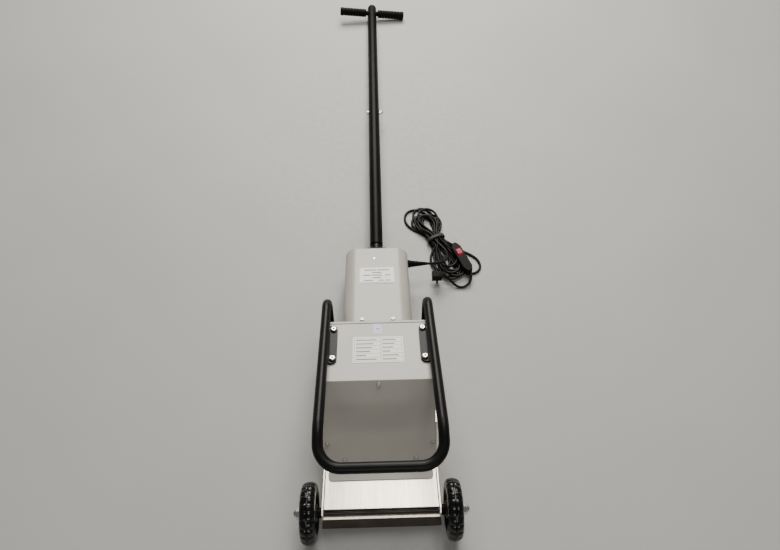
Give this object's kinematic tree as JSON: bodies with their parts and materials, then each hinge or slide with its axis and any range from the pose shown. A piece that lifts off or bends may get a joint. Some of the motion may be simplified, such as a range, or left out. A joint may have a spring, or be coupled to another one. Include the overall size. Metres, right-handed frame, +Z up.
{
  "type": "floor drum sander",
  "caption": "Wheeled floor drum sander with a stainless hood over the drum, a grey belt and gear cover, a motor cover, a tube guard and a long hinged T-handle.",
  "frame": {"origin": "on the floor, at the middle of the bounding box of the machine without its cord", "axes": "+X to the right seen from the wheel end, across the machine; +Y along the machine from the wheels to the T-handle; +Z up"},
  "size_m": [0.485, 2.0108, 0.2663],
  "materials": {
    "tyre_rubber": "moulded black rubber, tread slightly glossy",
    "wheel_centre": "black moulded nylon",
    "stainless": "brushed stainless sheet, grain along the machine",
    "grey_paint": "light warm grey satin paint on sheet steel",
    "black_paint": "black satin powder coat",
    "skirt_rubber": "dark brown-black rubber sheet",
    "zinc": "bright zinc plated steel",
    "screw_steel": "plated screw heads",
    "dark_steel": "oiled dark steel bar and turned steel",
    "bearing_steel": "ground bearing steel",
    "cast_alloy": "as-cast aluminium",
    "abrasive": "coated abrasive, brown grit",
    "belt_rubber": "black belt rubber",
    "winding": "laminated core with varnished copper windings",
    "moulded_black": "black moulded plastic",
    "grip_rubber": "ribbed black grip rubber",
    "plate_white": "printed white plate with blank ruled rows",
    "cord_jacket": "black rubber cord jacket",
    "switch_red": "translucent red rocker"
  },
  "bodies": {
    "chassis": {"axle_nuts": "zinc", "base_plate": "black_paint", "belt_guard": "black_paint", "box_cover": "grey_paint", "capacitor_and_terminals": "moulded_black", "cord": "cord_jacket", "cord_hank": "cord_jacket", "cover_rear_plate": "black_paint", "cover_screws": "screw_steel", "drive_belt": "belt_rubber", "drum_bearings": "bearing_steel", "dust_skirt": "skirt_rubber", "gear_case": "cast_alloy", "guard_bolts": "zinc", "guard_brackets": "black_paint", "guard_loop": "black_paint", "handle_bracket": "black_paint", "hood_side_left": "stainless", "hood_side_right": "stainless", "hood_top_sheet": "stainless", "layshaft_bearings": "bearing_steel", "motor_bearings": "bearing_steel", "motor_cover": "grey_paint", "motor_end_bells": "cast_alloy", "motor_housing": "cast_alloy", "motor_stator": "winding", "pivot_bolt": "zinc", "plug": "moulded_black", "rating_plate": "plate_white", "rubber_feet": "skirt_rubber", "skirt_clamp_strip": "stainless", "stick_on_labels": "plate_white", "strain_relief": "cord_jacket", "switch_case": "moulded_black", "wheel_axle": "dark_steel", "wheel_bushes": "moulded_black"},
    "wheel_left": {"tyre_left": "tyre_rubber", "wheel_hub_left": "wheel_centre"},
    "wheel_right": {"tyre_right": "tyre_rubber", "wheel_hub_right": "wheel_centre"},
    "drum": {"drum_core": "cast_alloy", "abrasive_sleeve": "abrasive", "drum_shaft": "dark_steel", "drum_pulley": "cast_alloy"},
    "layshaft_body": {"layshaft": "dark_steel", "layshaft_pulley": "cast_alloy", "bevel_gear": "dark_steel"},
    "rotor": {"motor_rotor": "dark_steel", "cooling_fan": "moulded_black", "bevel_pinion": "dark_steel"},
    "handle": {"pole_knuckle": "black_paint", "lower_pole": "black_paint", "pole_spigot": "dark_steel", "upper_pole": "black_paint", "pole_bolt": "zinc", "pole_end_cap": "moulded_black", "crossbar": "black_paint", "grip_left": "grip_rubber", "grip_right": "grip_rubber"},
    "rocker": {"switch_rocker": "switch_red"}
  },
  "joints": [
    {"name": "wheel_left_spin", "type": "hinge", "parent": "chassis", "child": "wheel_left", "pos_m": [-0.15, -0.94294, 0.0625], "axis": [1, 0, 0], "continuous": true},
    {"name": "wheel_right_spin", "type": "hinge", "parent": "chassis", "child": "wheel_right", "pos_m": [0.15, -0.94294, 0.0625], "axis": [1, 0, 0], "continuous": true},
    {"name": "drum_spin", "type": "hinge", "parent": "chassis", "child": "drum", "pos_m": [0, -0.75789, 0.05], "axis": [1, 0, 0], "continuous": true},
    {"name": "layshaft_spin", "type": "hinge", "parent": "chassis", "child": "layshaft_body", "pos_m": [0, -0.62268, 0.12631], "axis": [1, 0, 0], "continuous": true},
    {"name": "rotor_spin", "type": "hinge", "parent": "chassis", "child": "rotor", "pos_m": [0, -0.62268, 0.12631], "axis": [0, 0.9781, -0.2079], "continuous": true},
    {"name": "handle_pivot", "type": "hinge", "parent": "chassis", "child": "handle", "pos_m": [0, -0.26694, 0.066], "axis": [1, 0, 0], "range_deg": [0, 55]},
    {"name": "rocker_tilt", "type": "hinge", "parent": "chassis", "child": "rocker", "pos_m": [0.23227, -0.242, 0.0275], "axis": [0.9336, 0.3584, 0], "range_deg": [-12, 0]}
  ],
  "couplings": [
    {"joint": "layshaft_spin", "follows": "drum_spin", "ratio": 1},
    {"joint": "rotor_spin", "follows": "drum_spin", "ratio": -1.5}
  ]
}
